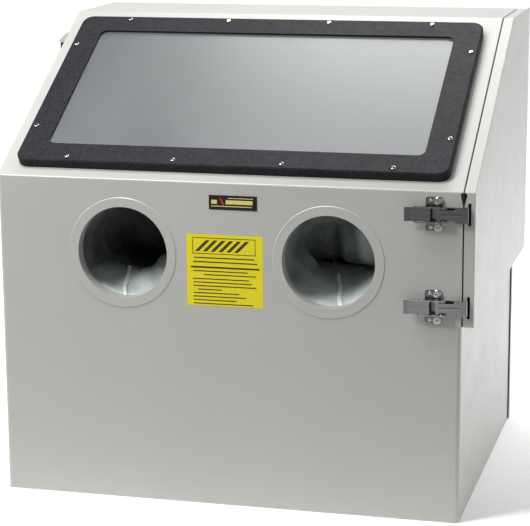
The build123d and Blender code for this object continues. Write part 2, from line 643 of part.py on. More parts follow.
def hinge_leaf(first, flat, tab):
    """A leaf from its flat and the tabs that join the flat to its knuckles."""
    with BuildPart() as leaf:
        add(block(*flat, (HINGE_BOTTOM, HINGE_TOP)))
        add(knuckles(first))
        for k in range(first, KNUCKLE_COUNT, 2):
            start = HINGE_BOTTOM + k * KNUCKLE_LENGTH + KNUCKLE_GAP / 2
            add(block(*tab, (start, start + KNUCKLE_LENGTH - KNUCKLE_GAP)))
        with BuildSketch(Plane.XY.offset(HINGE_BOTTOM)):
            with Locations((HINGE_X, HINGE_Y)):
                Circle(BORE_RADIUS)
        extrude(amount=HINGE_TOP - HINGE_BOTTOM, mode=Mode.SUBTRACT)
    return leaf


knuckle_clear = KNUCKLE_RADIUS + 0.4
fixed_y = (REAR, REAR + LEAF_THICKNESS)
fixed_flat = ((LEAF_START, HINGE_X - knuckle_clear), fixed_y)
fixed_tab = ((HINGE_X - knuckle_clear, HINGE_X), fixed_y)
save(hinge_leaf(0, fixed_flat, fixed_tab), "hinge_leaf_body")

door_x = (DOOR_INNER - LEAF_THICKNESS, DOOR_INNER)
door_flat = (door_x, (HINGE_Y + knuckle_clear, DOOR_REAR - 2))
door_tab = (door_x, (HINGE_Y, HINGE_Y + knuckle_clear))
save(hinge_leaf(1, door_flat, door_tab), "hinge_leaf_door")

with BuildPart() as hinge_pin:
    with BuildSketch(Plane.XY.offset(HINGE_BOTTOM - 1)):
        with Locations((HINGE_X, HINGE_Y)):
            Circle(PIN_RADIUS)
    extrude(amount=HINGE_TOP - HINGE_BOTTOM + 2)
save(hinge_pin, "hinge_pin")

# ---- latches ------------------------------------------------------------------------
# A latch is drawn in a plane seen from above: local x is X and local y is the distance
# out from the front face. Widths are measured up and down from its middle.
def latch_plane(height, shift=0.0):
    return Plane(origin=(0, FRONT, height + shift), x_dir=(1, 0, 0), z_dir=(0, 0, -1))


def pin(place, height, low, high, radius):
    """A round pin across a latch, between two distances above its middle."""
    with BuildPart() as rod:
        with BuildSketch(latch_plane(height, high)):
            with Locations(place):
                Circle(radius)
        extrude(amount=high - low)
    return rod.part


def latch_base(height):
    """A flat plate with two ears for its screws and two cheeks that hold the lever."""
    with BuildPart() as base:
        with BuildSketch(FRONT_PLANE):
            with Locations((sum(BASE_EARS) / 2, height)):
                RectangleRounded(BASE_EARS[1] - BASE_EARS[0], BASE_HEIGHT, 3)
            with Locations((sum(BASE_TONGUE) / 2, height)):
                Rectangle(BASE_TONGUE[1] - BASE_TONGUE[0], CHEEK_WIDTH)
        extrude(amount=LATCH_SHEET)
        for side in (-1, 1):
            with BuildSketch(latch_plane(height, side * CHEEK_WIDTH / 2)):
                with Locations(LEVER_PIVOT):
                    Circle(CHEEK_RADIUS)
                with Locations((LEVER_PIVOT[0], LEVER_PIVOT[1] / 2)):
                    Rectangle(2 * CHEEK_RADIUS, LEVER_PIVOT[1])
                with Locations(LEVER_PIVOT):
                    Circle(PIN_RADIUS, mode=Mode.SUBTRACT)
            extrude(amount=side * LATCH_SHEET)
        with BuildSketch(FRONT_PLANE):
            for side in (-1, 1):
                with Locations((BASE_SCREW[0], height + side * BASE_SCREW[1])):
                    Circle(LATCH_SCREW_RADIUS)
                with Locations((BASE_RIVET[0], height + side * BASE_RIVET[1])):
                    Circle(LATCH_RIVET_RADIUS)
        extrude(amount=LATCH_SHEET, mode=Mode.SUBTRACT)
    return base


def latch_lever(height):
    """The handle: a web let in between two sides, which reach past it to the pivot."""
    pivot_x, pivot_out = LEVER_PIVOT
    top = pivot_out + CHEEK_RADIUS
    low = pivot_out - CHEEK_RADIUS
    web = top - WEB_DEPTH
    tip, web_end = LEVER_WEB
    with BuildPart() as lever:
        with BuildSketch(latch_plane(height)):
            with BuildLine():
                Polyline(
                    (tip + 11, web),
                    (tip + 15, top),
                    (pivot_x, top),
                    (pivot_x, low),
                    (web_end + 2, low),
                    (tip + 11, web - LATCH_SHEET),
                    close=True,
                )
            make_face()
            with Locations(LEVER_PIVOT):
                Circle(CHEEK_RADIUS)
            with Locations(LEVER_PIVOT):
                Circle(BORE_RADIUS, mode=Mode.SUBTRACT)
            with Locations(DRAW_PIVOT):
                Circle(PIN_RADIUS, mode=Mode.SUBTRACT)
        extrude(amount=LEVER_WIDTH / 2, both=True)
        with BuildSketch(latch_plane(height)):
            with Locations((pivot_x, pivot_out)):
                Rectangle(4 * (pivot_x - tip), 4 * top)
        extrude(amount=LEVER_WIDTH / 2 - LATCH_SHEET, both=True, mode=Mode.SUBTRACT)
        with BuildSketch(latch_plane(height)):
            with BuildLine():
                FilletPolyline(
                    (tip, top - LATCH_SHEET / 2),
                    (tip + 7, web - LATCH_SHEET / 2),
                    (web_end, web - LATCH_SHEET / 2),
                    radius=6,
                )
            trace(line_width=LATCH_SHEET)
        extrude(amount=LEVER_WIDTH / 2 - 0.9 * LATCH_SHEET, both=True)
    return lever


def draw_plate(height):
    """Eye, flat with a pressed rib, and a lip that stops just clear of the door's slot."""
    start_x = DRAW_PIVOT[0]
    back = DRAW_PIVOT[1] + DRAW_EYE - LATCH_SHEET / 2
    with BuildPart() as plate:
        with BuildSketch(latch_plane(height)):
            with BuildLine():
                FilletPolyline(
                    (start_x, back),
                    (start_x + 18, back - 0.35),
                    (start_x + 34, back - 2.15),
                    (DRAW_TIP, back - 3.55),
                    (DRAW_TIP, 0.4),
                    radius=(8, 8, 2),
                )
            trace(line_width=LATCH_SHEET)
            with Locations(DRAW_PIVOT):
                Circle(DRAW_EYE)
        extrude(amount=DRAW_HEAD / 2, both=True)
        with BuildSketch(latch_plane(height)):
            with BuildLine():
                FilletPolyline(
                    (start_x + 3, back),
                    (start_x + 18, back - 0.35),
                    (start_x + 33, back - 2.05),
                    radius=8,
                )
            trace(line_width=2.6 * LATCH_SHEET)
        extrude(amount=RIB_HEIGHT, both=True)
        with BuildSketch(latch_plane(height)):
            with Locations(DRAW_PIVOT):
                Circle(BORE_RADIUS)
        extrude(amount=DRAW_HEAD / 2, both=True, mode=Mode.SUBTRACT)
        with BuildSketch(FRONT_PLANE):
            for side in (-1, 1):
                with Locations((start_x, height + side * (DRAW_WIDTH / 2 + 4))):
                    Rectangle(8, 8)
                with Locations((start_x + 13, height + side * (WAIST_WIDTH / 2 + 4))):
                    RectangleRounded(20.4, 8, 1.5)
        extrude(amount=20, mode=Mode.SUBTRACT)
    return plate


ears_plane = FRONT_PLANE.offset(LATCH_SHEET)
latch_screws = fasteners(
    ears_plane, latch_places(BASE_SCREW), LATCH_SCREW_HEAD, LATCH_SCREW_RADIUS, LATCH_SHEET
)
save(latch_screws, "latch_screws")
latch_rivets = fasteners(
    ears_plane, latch_places(BASE_RIVET), LATCH_RIVET_HEAD, LATCH_RIVET_RADIUS, LATCH_SHEET
)
save(latch_rivets, "latch_rivets")

# Each lever turns on two short pivots, riveted into the cheeks from outside.
with BuildPart() as latch_pivots:
    tail = CHEEK_WIDTH / 2 - LATCH_SHEET
    neck = LEVER_WIDTH / 2 + 0.2
    crown = neck + 1
    for height in LATCH_HEIGHTS.values():
        add(pin(LEVER_PIVOT, height, tail, neck, PIN_RADIUS))
        add(pin(LEVER_PIVOT, height, neck, crown, 1.7 * PIN_RADIUS))
        add(pin(LEVER_PIVOT, height, -neck, -tail, PIN_RADIUS))
        add(pin(LEVER_PIVOT, height, -crown, -neck, 1.7 * PIN_RADIUS))
save(latch_pivots, "latch_pivots")

for name, height in LATCH_HEIGHTS.items():
    save(latch_base(height), f"latch_base_{name}")
    save(latch_lever(height), f"latch_lever_{name}")
    save(draw_plate(height), f"draw_plate_{name}")
    with BuildPart() as draw_pin:
        reach = LEVER_WIDTH / 2 + 0.8
        add(pin(DRAW_PIVOT, height, -reach, reach, PIN_RADIUS))
    save(draw_pin, f"draw_pin_{name}")

# ---- air and dust -------------------------------------------------------------------
hood_out, hood_along, hood_high = INTAKE_HOOD
hood_y = around(INTAKE_Y, hood_along)
hood_bottom = INTAKE_Z - INTAKE_SLOT[1] / 2


def hood_form(inset, low):
    """The hood's outer form, drawn in evenly; its upper outside edge is cut off at 45 degrees."""
    reach = hood_out - inset
    top = hood_high - inset
    cut = INTAKE_CHAMFER - (2 - sqrt(2)) * inset
    ends = inset_span(hood_y, inset)
    with BuildPart() as form:
        with BuildSketch(Plane(origin=(-SIDE, ends[0], hood_bottom), x_dir=(-1, 0, 0), z_dir=(0, 1, 0))):
            with BuildLine():
                Polyline(
                    (0, low),
                    (reach, low),
                    (reach, top - cut),
                    (reach - cut, top),
                    (0, top),
                    close=True,
                )
            make_face()
        extrude(amount=ends[1] - ends[0])
    return form.part


with BuildPart() as intake_hood:
    add(hood_form(0, 0))
    add(hood_form(SHEET, -1), mode=Mode.SUBTRACT)
save(intake_hood, "intake_hood")

with BuildPart() as intake_filter:
    filter_z = (hood_bottom - FILTER_DROP, hood_bottom + 2)
    add(block((SHEET - SIDE - hood_out, -SIDE), inset_span(hood_y, SHEET), filter_z))
save(intake_filter, "intake_filter")

with BuildPart() as exhaust_collar:
    for start, outer, length in (
        (0, EXHAUST_RADIUS + EXHAUST_FLANGE, SHEET),
        (-SHEET, EXHAUST_RADIUS, DOOR_OVERHANG + SHEET),
    ):
        with BuildSketch(REAR_PLANE.offset(start)):
            with Locations((-EXHAUST_X, EXHAUST_Z)):
                Circle(outer)
                Circle(EXHAUST_RADIUS - SHEET, mode=Mode.SUBTRACT)
        extrude(amount=length)
save(exhaust_collar, "exhaust_collar")

# A folded plate in front of the outlet, open above and below.
with BuildPart() as exhaust_baffle:
    baffle_x = around(EXHAUST_X, BAFFLE_SIZE)
    baffle_y = (SIDE_REAR - BAFFLE_DEPTH, SIDE_REAR)
    add(block(baffle_x, baffle_y, around(EXHAUST_Z, BAFFLE_SIZE)))
    hollow = block(inset_span(baffle_x, SHEET), (baffle_y[0] + SHEET, SIDE_REAR + 1), (0, HEIGHT))
    add(hollow, mode=Mode.SUBTRACT)
save(exhaust_baffle, "exhaust_baffle")


def rear_fitting(x, z, hexagon, spigot, bore, length):
    """A threaded fitting through the rear: hexagons on both sides and a spigot outside."""
    with BuildPart() as fitting:
        for start, amount in ((0, 7), (-SHEET, -5)):
            with BuildSketch(REAR_PLANE.offset(start)):
                with Locations((-x, z)):
                    RegularPolygon(hexagon, 6)
            extrude(amount=amount)
        with BuildSketch(REAR_PLANE.offset(-FITTING_REACH)):
            with Locations((-x, z)):
                Circle(spigot)
        extrude(amount=FITTING_REACH + length)
        fillet(fitting.edges().group_by(Axis.Y)[-1], 1)
        with BuildSketch(REAR_PLANE.offset(-FITTING_REACH)):
            with Locations((-x, z)):
                Circle(bore)
        extrude(amount=FITTING_REACH + length, mode=Mode.SUBTRACT)
    return fitting


save(rear_fitting(INLET_X, INLET_Z, 11, INLET_RADIUS, 4, 20), "air_inlet")
save(rear_fitting(GLAND_X, GLAND_Z, 9, GLAND_RADIUS, 3.2, 13), "lamp_cable_gland")

# ---- lamp ---------------------------------------------------------------------------
lamp_x = around(0, LAMP_SIZE[0])
lamp_y = around(LAMP_Y, LAMP_SIZE[1])
lamp_inside = (inset_span(lamp_x, SHEET), inset_span(lamp_y, SHEET))

with BuildPart() as lamp_housing:
    add(block(lamp_x, lamp_y, (LAMP_BOTTOM, HEIGHT - SHEET)))
    add(block(*lamp_inside, (0, HEIGHT - 2 * SHEET)), mode=Mode.SUBTRACT)
save(lamp_housing, "lamp_housing")

with BuildPart() as lamp_lens:
    add(block(*lamp_inside, (LAMP_BOTTOM, LAMP_BOTTOM + LENS_THICKNESS)))
save(lamp_lens, "lamp_lens")

with BuildPart() as lamp_tube:
    tube_start, tube_end = lamp_inside[0]
    cap_radius, cap_length = LAMP_CAP
    for start, end, radius in (
        (tube_start, tube_start + cap_length, cap_radius),
        (tube_start + cap_length, tube_end - cap_length, LAMP_TUBE_RADIUS),
        (tube_end - cap_length, tube_end, cap_radius),
    ):
        with BuildSketch(Plane.YZ.offset(start)):
            with Locations((LAMP_Y, (LAMP_BOTTOM + HEIGHT) / 2 - SHEET + 0.5)):
                Circle(radius)
        extrude(amount=end - start)
save(lamp_tube, "lamp_tube")

# ---- blast gun ----------------------------------------------------------------------
def along_barrel(start):
    """A plane across the barrel, at a distance from the gun's middle."""
    return Plane(origin=(GUN_X + start, GUN_Y, GUN_Z), x_dir=(0, 1, 0), z_dir=(1, 0, 0))


def stem(x, low, high, radius):
    """A round upright stub, placed from the gun's middle."""
    with BuildPart() as stub:
        with BuildSketch(Plane.XY.offset(GUN_Z + low)):
            with Locations((GUN_X + x, GUN_Y)):
                Circle(radius)
        extrude(amount=high - low)
    return stub.part


with BuildPart() as gun_body:
    with BuildSketch(along_barrel(-BARREL_HALF)):
        Circle(BARREL_RADIUS)
    extrude(amount=2 * BARREL_HALF)
    fillet(gun_body.edges().group_by(Axis.X)[0], 4)
    with BuildSketch(GUN_PLANE):
        with BuildLine():
            FilletPolyline(*HANDLE, radius=(0, 0, 5, 5), close=True)
        make_face()
    extrude(amount=HANDLE_HALF, both=True)
    add(stem(AIR_STEM_X, -118, -94, 5.5))
    with BuildSketch(GUN_PLANE):
        with BuildLine():
            Polyline(*TRIGGER_BRACKET, close=True)
        make_face()
        with Locations(TRIGGER_PIVOT):
            Circle(PIN_RADIUS, mode=Mode.SUBTRACT)
    extrude(amount=BRACKET_HALF, both=True)
    trigger_slot = block(
        (GUN_X - 5, GUN_X + 25),
        around(GUN_Y, TRIGGER_WIDTH + 0.6),
        (GUN_Z - 30, GUN_Z - BARREL_RADIUS),
    )
    add(trigger_slot, mode=Mode.SUBTRACT)
    add(stem(MEDIA_STEM_X, -42, -6, 8))
    add(stem(MEDIA_STEM_X, -43, -8, 5), mode=Mode.SUBTRACT)
save(gun_body, "gun_body")

with BuildPart() as gun_nozzle:
    for start, radius, length in NOZZLE_STEPS:
        with BuildSketch(along_barrel(BARREL_HALF + start)):
            Circle(radius)
        extrude(amount=length)
    fillet(gun_nozzle.edges().group_by(Axis.X)[-1], 1.5)
    with BuildSketch(along_barrel(BARREL_HALF)):
        Circle(NOZZLE_BORE)
    extrude(amount=40, mode=Mode.SUBTRACT)
save(gun_nozzle, "gun_nozzle")

with BuildPart() as gun_trigger:
    with BuildSketch(GUN_PLANE):
        with BuildLine():
            FilletPolyline(*TRIGGER_LINE, radius=(14, 10))
        trace(line_width=4)
        with Locations(TRIGGER_PIVOT):
            Circle(4)
            Circle(BORE_RADIUS, mode=Mode.SUBTRACT)
    extrude(amount=TRIGGER_WIDTH / 2, both=True)
save(gun_trigger, "gun_trigger")

with BuildPart() as trigger_pin:
    with BuildSketch(GUN_PLANE):
        with Locations(TRIGGER_PIVOT):
            Circle(PIN_RADIUS)
    extrude(amount=BRACKET_HALF + 0.6, both=True)
save(trigger_pin, "gun_trigger_pin")

# Two forks under the barrel, folded forward from a plate on the rear wall.
with BuildPart() as gun_holder:
    add(block((GUN_X - 30, GUN_X + 60), (INSIDE_REAR, SIDE_REAR), (GUN_Z - 60, GUN_Z + 20)))
    fork_reach = SIDE_REAR - GUN_Y + BARREL_RADIUS + 3
    fork_slot = 2 * (BARREL_RADIUS + FORK_FIT)
    for x in FORK_X:
        with BuildSketch(Plane.YZ.offset(GUN_X + x)):
            with Locations((SIDE_REAR - fork_reach / 2, GUN_Z - 5)):
                Rectangle(fork_reach, 2 * BARREL_RADIUS)
            with Locations((GUN_Y, GUN_Z)):
                Circle(fork_slot / 2, mode=Mode.SUBTRACT)
            with Locations((GUN_Y, GUN_Z + 12)):
                Rectangle(fork_slot, 24, mode=Mode.SUBTRACT)
        extrude(amount=FORK_THICKNESS)
save(gun_holder, "gun_holder")

# The pick-up tube stands in the hopper's trough and draws media up to the gun.
with BuildPart() as pickup_tube:
    with BuildSketch(Plane.XY.offset(HOPPER_FLOOR + 2 * SHEET)):
        with Locations((0, PICKUP_Y)):
            Circle(PICKUP_RADIUS)
            Circle(PICKUP_RADIUS - SHEET, mode=Mode.SUBTRACT)
    extrude(amount=PICKUP_LENGTH)
save(pickup_tube, "pickup_tube")

# ---- plates on the front ------------------------------------------------------------
for name, (centre, size, thickness) in (("name_plate", NAME_PLATE), ("safety_label", SAFETY_LABEL)):
    with BuildPart() as plate:
        with BuildSketch(FRONT_PLANE):
            with Locations(centre):
                Rectangle(*size)
        extrude(amount=thickness)
    save(plate, name)
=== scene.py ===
import bmesh
import bpy
import math
from mathutils import Matrix, Vector, noise


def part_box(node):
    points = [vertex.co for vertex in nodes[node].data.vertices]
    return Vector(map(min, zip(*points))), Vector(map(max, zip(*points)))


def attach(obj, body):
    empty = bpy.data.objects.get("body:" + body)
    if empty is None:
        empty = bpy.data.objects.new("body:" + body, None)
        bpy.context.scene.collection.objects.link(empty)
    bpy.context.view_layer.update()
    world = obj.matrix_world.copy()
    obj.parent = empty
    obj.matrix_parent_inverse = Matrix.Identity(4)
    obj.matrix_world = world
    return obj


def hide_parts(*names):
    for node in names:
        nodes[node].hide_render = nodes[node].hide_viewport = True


# A bench-top sandblast cabinet. The CAD nodes carry the shape; this script gives them
# their materials, replaces the gloves with cloth ones, adds print to the two plates and
# sets the floor, lights and camera. Lengths are in metres unless a comment says otherwise,
# and colours are linear.

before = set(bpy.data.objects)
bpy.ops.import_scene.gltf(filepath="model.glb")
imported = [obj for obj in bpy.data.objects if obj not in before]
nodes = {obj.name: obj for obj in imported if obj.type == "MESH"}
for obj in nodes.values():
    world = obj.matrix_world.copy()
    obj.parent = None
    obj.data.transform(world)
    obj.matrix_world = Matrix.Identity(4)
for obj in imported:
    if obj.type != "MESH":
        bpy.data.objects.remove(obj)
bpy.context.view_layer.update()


# ---- materials ----------------------------------------------------------------------
class Look:
    """A material in the making: its node tree, its Principled shader and small helpers."""

    def __init__(self, name, color=(0.5, 0.5, 0.5), roughness=0.5, metallic=0.0, **sockets):
        self.material = bpy.data.materials.new(name)
        self.material.use_nodes = True
        self.tree = self.material.node_tree
        self.shader = next(n for n in self.tree.nodes if n.type == "BSDF_PRINCIPLED")
        self.shader.inputs["Base Color"].default_value = (*color, 1)
        self.shader.inputs["Roughness"].default_value = roughness
        self.shader.inputs["Metallic"].default_value = metallic
        for socket, value in sockets.items():
            self.shader.inputs[socket.replace("_", " ")].default_value = value

    def node(self, kind, values=(), **settings):
        made = self.tree.nodes.new(kind)
        for setting, value in settings.items():
            setattr(made, setting, value)
        for socket, value in dict(values).items():
            if isinstance(value, bpy.types.NodeSocket):
                self.tree.links.new(value, made.inputs[socket])
            else:
                made.inputs[socket].default_value = value
        return made

    def place(self, stretch=(1, 1, 1), turn=(0, 0, 0)):
        """Position on the object, in metres, stretched and turned."""
        source = self.node("ShaderNodeTexCoord").outputs["Object"]
        mapping = {"Vector": source, "Scale": stretch, "Rotation": turn}
        return self.node("ShaderNodeMapping", mapping).outputs["Vector"]

    def noise(self, place, scale, detail=2.0, rough=0.5):
        values = {"Vector": place, "Scale": scale, "Detail": detail, "Roughness": rough}
        return self.node("ShaderNodeTexNoise", values).outputs["Fac"]

    def cells(self, place, scale):
        values = {"Vector": place, "Scale": scale}
        return self.node("ShaderNodeTexVoronoi", values).outputs["Color"]

    def waves(self, place, scale, direction):
        values = {"Vector": place, "Scale": scale, "Distortion": 0.4, "Detail": 1.0}
        settings = {"wave_type": "BANDS", "bands_direction": direction}
        return self.node("ShaderNodeTexWave", values, **settings).outputs["Fac"]

    def span(self, value, low, high, from_low=0.3, from_high=0.7):
        """A factor spread over a range of numbers."""
        values = {"Value": value, "From Min": from_low, "From Max": from_high}
        values.update({"To Min": low, "To Max": high})
        return self.node("ShaderNodeMapRange", values).outputs["Result"]

    def blend(self, factor, low, high):
        """Two colours or colour sockets, mixed by a factor."""
        made = self.node("ShaderNodeMix", {0: factor}, data_type="RGBA")
        for socket, value in ((6, low), (7, high)):
            if isinstance(value, bpy.types.NodeSocket):
                self.tree.links.new(value, made.inputs[socket])
            else:
                made.inputs[socket].default_value = (*value, 1)
        return made.outputs[2]

    def combine(self, operation, a, b):
        return self.node("ShaderNodeMath", {0: a, 1: b}, operation=operation).outputs[0]

    def add(self, a, b):
        return self.combine("ADD", a, b)

    def times(self, a, b):
        return self.combine("MULTIPLY", a, b)

    def drive(self, socket, source):
        self.tree.links.new(source, self.shader.inputs[socket])

    def bump(self, height, strength, depth, edge=0.0):
        """Relief; an edge radius also softens the sharp edges' shading."""
        values = {"Height": height, "Strength": strength, "Distance": depth}
        if edge:
            values["Normal"] = self.node("ShaderNodeBevel", {"Radius": edge}).outputs["Normal"]
        self.drive("Normal", self.node("ShaderNodeBump", values).outputs["Normal"])


def scaled(tone, factor):
    return tuple(factor * c for c in tone)


def painted(name, tone, roughness=0.42):
    """Baked enamel: faint clouding, orange peel and a slightly uneven gloss."""
    look = Look(name, tone, roughness, IOR=1.6, Coat_Weight=0.5, Coat_Roughness=0.35)
    place = look.place()
    cloud = look.span(look.noise(place, 5, 3), 0, 1)
    darker = scaled(tone, 0.955)
    grains = look.span(look.noise(place, 700, 2), 0, 0.10)
    paler = scaled(tone, 1.10)
    look.drive("Base Color", look.blend(grains, look.blend(cloud, darker, tone), paler))
    look.drive("Roughness", look.span(look.noise(place, 26, 3), roughness - 0.05, roughness + 0.07))
    look.bump(look.noise(place, 420, 2), 0.10, 0.0006)
    return look.material


def moulded(name, dark, pale, roughness, grain=260, relief=0.35, gloss=0.5):
    """Moulded plastic or rubber with a mottled, leathery grain."""
    look = Look(name, dark, roughness, Specular_IOR_Level=gloss)
    place = look.place()
    mottle = look.span(look.noise(place, grain, 5, 0.6), 0, 1, 0.4, 0.68)
    patches = look.span(look.noise(place, grain / 9, 3), 0, 0.35)
    look.drive("Base Color", look.blend(patches, look.blend(mottle, dark, pale), pale))
    uneven = look.noise(place, grain / 2, 3)
    look.drive("Roughness", look.span(uneven, roughness - 0.08, roughness + 0.1))
    look.bump(look.noise(place, 2 * grain, 4, 0.6), relief, 0.0007)
    return look.material


def brushed(name, tone, roughness, stretch=(6, 420, 420)):
    """Brushed or rolled metal: fine streaks in colour, gloss and relief."""
    look = Look(name, tone, roughness, 1.0)
    streaks = look.noise(look.place(stretch), 1, 4, 0.65)
    stains = look.span(look.noise(look.place(), 60, 3), 0, 0.4)
    dark = scaled(tone, 0.72)
    fine = look.blend(look.span(streaks, 0, 1), dark, tone)
    look.drive("Base Color", look.blend(stains, fine, dark))
    look.drive("Roughness", look.span(streaks, roughness - 0.05, roughness + 0.09))
    look.bump(streaks, 0.25, 0.0002, edge=0.0008)
    return look.material


def plated(name, tone, roughness, spangle=140):
    """Zinc or chrome plating with a faint crystalline pattern."""
    look = Look(name, tone, roughness, 1.0)
    place = look.place()
    crystals = look.cells(place, spangle)
    look.drive("Base Color", look.blend(0.12, tone, crystals))
    look.drive("Roughness", look.span(look.noise(place, 90, 3), roughness - 0.04, roughness + 0.08))
    look.bump(look.noise(place, 300, 2), 0.08, 0.0003)
    return look.material


def cloth(name, tone, threads, sheen, relief):
    """Cloth of crossed threads with a soft nap, still without its colours."""
    look = Look(name, tone, 0.92, Sheen_Weight=sheen, Sheen_Roughness=0.45)
    weave = look.place(turn=(0.3, 0.2, 0.7))
    crossed = look.times(look.waves(weave, threads, "X"), look.waves(weave, threads, "Y"))
    nap = look.times(look.noise(look.place(), 260, 5, 0.7), 1.5)
    look.bump(look.add(crossed, nap), relief, 0.0008)
    return look


def cloth_shade(look, dark, pale):
    """Uneven shade between two cloth colours."""
    nap = look.times(look.noise(look.place(), 260, 5, 0.7), 0.5)
    shade = look.add(look.noise(look.place(), 34, 4), nap)
    return look.blend(look.span(shade, 0, 1, 0.55, 0.95), dark, pale)


def tape():
    """Pale woven seam tape."""
    look = cloth("tape", (0.72, 0.74, 0.71), threads=35, sheen=0.3, relief=0.6)
    look.drive("Base Color", cloth_shade(look, (0.74, 0.75, 0.72), (0.93, 0.94, 0.91)))
    return look.material


PAINTED_LIGHT_HEIGHT = (0.312, 0.338)           # the painted light along the bottom gives way to painted shade between these heights
PAINTED_SHADE_DEPTH = (-0.152, -0.100)         # farther in, painted shade darkens the cloth between these Y
PAINTED_LIGHT_EDGE = (-0.004, 0.010)           # X from where the right sleeve's painted light begins, from painted shade to painted light


def lining(name, shade_tone, lit_beyond=None):
    """Cloth with painted light and shade: painted shade above and far in, painted light along the
    bottom.

    Beyond a place along X, where the cloth hangs forward, it gets painted light as well."""
    look = cloth(name, (0.4, 0.45, 0.44), threads=47.5, sheen=0.15, relief=0.5)
    # The pale cloth colour is painted light and the dark one is painted shade.
    lit_cloth = cloth_shade(look, (0.46, 0.53, 0.52), (0.72, 0.80, 0.78))
    shaded_cloth = cloth_shade(look, scaled(shade_tone, 0.4), shade_tone)
    spot = look.node("ShaderNodeSeparateXYZ", {0: look.place()}).outputs
    ragged = look.times(look.noise(look.place(), 22, 3), 0.02)
    # Painted shade above the bottom of the sleeve, painted light below it.
    shade_mask = look.span(look.add(spot["Z"], ragged), 0, 1, *PAINTED_LIGHT_HEIGHT)
    if lit_beyond is not None:
        low, high = [lit_beyond + offset for offset in PAINTED_LIGHT_EDGE]
        # Beyond that X the painted shade mostly gives way to painted light.
        edge = look.span(spot["X"], 1, 0.15, low, high)
        shade_mask = look.times(shade_mask, edge)
    # Painted shade farther into the sleeve.
    deep = look.span(look.add(spot["Y"], ragged), 0, 1, *PAINTED_SHADE_DEPTH)
    look.drive("Base Color", look.blend(look.combine("MAXIMUM", shade_mask, deep), lit_cloth, shaded_cloth))
    return look.material


def plain_glass(name, tint, alpha, roughness):
    """A pane with a dusty film, a little thicker in patches."""
    coat = {"Coat_Weight": 1.0, "Coat_Roughness": 0.36}
    look = Look(name, tint, roughness, IOR=2.3, Alpha=alpha, **coat)
    film = look.span(look.noise(look.place(), 7, 4), roughness - 0.03, roughness + 0.05)
    look.drive("Roughness", film)
    return look.material


def glowing(name, tone, strength):
    """A lit surface, faintly uneven."""
    look = Look(name, tone, 0.4, Emission_Strength=strength)
    place = look.place()
    look.drive("Emission Color", look.blend(look.noise(place, 9, 2), tone, (1, 1, 1)))
    look.drive("Base Color", look.blend(look.noise(place, 120, 2), tone, (1, 1, 1)))
    return look.material


def printed(name, tone, roughness=0.3):
    """Ink or vinyl: even colour with faint speckle and a slight dimpling."""
    look = Look(name, tone, roughness)
    place = look.place()
    speckle = look.span(look.noise(place, 900, 3), 0, 0.25)
    look.drive("Base Color", look.blend(speckle, tone, scaled(tone, 0.8)))
    look.drive("Roughness", look.span(look.noise(place, 60, 2), roughness - 0.05, roughness + 0.08))
    look.bump(look.noise(place, 180, 2), 0.06, 0.0003)
    return look.material


hole = {side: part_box(f"arm_collar_{side}") for side in ("left", "right")}
mid_x = {side: (box[0].x + box[1].x) / 2 for side, box in hole.items()}
lit_from_x = mid_x["right"] + 0.020       # beyond it the right sleeve's hanging top gets painted light
looks = {
    "enamel": painted("enamel", (0.465, 0.465, 0.435)),
    "enamel_inside": painted("enamel_inside", (0.40, 0.40, 0.37), 0.55),
    "charcoal": moulded("charcoal", (0.0075, 0.007, 0.009), (0.028, 0.0255, 0.032), 0.5, gloss=0.16),
    "seal": moulded("seal", (0.012, 0.012, 0.012), (0.03, 0.03, 0.03), 0.75, 400, 0.3),
    # The window glass's dark, mostly opaque tint is painted shade standing in for the dark cabinet
    # interior behind it.
    "glass": plain_glass("glass", (0.075, 0.087, 0.091), 0.85, 0.37),
    # steel_dark on the upper latch's lever and draw plate is painted shade, since that latch is a twin
    # of the lower one in the paler steel. The latch bases take the darker steel as well.
    "steel_dark": brushed("steel_dark", (0.31, 0.302, 0.302), 0.2),
    "steel": brushed("steel", (0.52, 0.512, 0.51), 0.2),
    "chrome": plated("chrome", (0.66, 0.66, 0.66), 0.10, 300),
    "zinc": plated("zinc", (0.60, 0.61, 0.62), 0.34),
    "rods": brushed("rods", (0.50, 0.50, 0.50), 0.38, (60, 60, 60)),
    "cast": moulded("cast", (0.30, 0.30, 0.31), (0.44, 0.44, 0.45), 0.5, 300, 0.4),
    "nozzle": moulded("nozzle", (0.62, 0.60, 0.56), (0.72, 0.70, 0.66), 0.6, 500, 0.2),
    "foam": moulded("foam", (0.008, 0.008, 0.008), (0.04, 0.04, 0.04), 0.95, 900, 1.0),
    "black": moulded("black", (0.012, 0.012, 0.013), (0.03, 0.03, 0.032), 0.42, 500, 0.2),
    "brass": plated("brass", (0.78, 0.56, 0.24), 0.24),
    "tube": glowing("tube", (0.92, 0.94, 0.95), 0.6),
    "lens": plain_glass("lens", (0.85, 0.88, 0.9), 0.5, 0.35),
    "yellow": printed("yellow", (0.80, 0.68, 0.008), 0.55),
    "plate_black": printed("plate_black", (0.010, 0.010, 0.011), 0.25),
    "ink": printed("ink", (0.035, 0.03, 0.012), 0.45),
    "ink_yellow": printed("ink_yellow", (0.72, 0.62, 0.20), 0.35),
    "ink_red": printed("ink_red", (0.45, 0.03, 0.02), 0.35),
    # Each sleeve gets its own painted shade tone; the right one also gets painted light on its hanging
    # top.
    "lining_left": lining("lining_left", (0.13, 0.15, 0.14)),
    "lining_right": lining("lining_right", (0.24, 0.265, 0.25), lit_from_x),
    "tape": tape(),
    "glove_rubber": moulded("glove_rubber", (0.035, 0.04, 0.038), (0.075, 0.085, 0.08), 0.62, 340, 0.4),
}

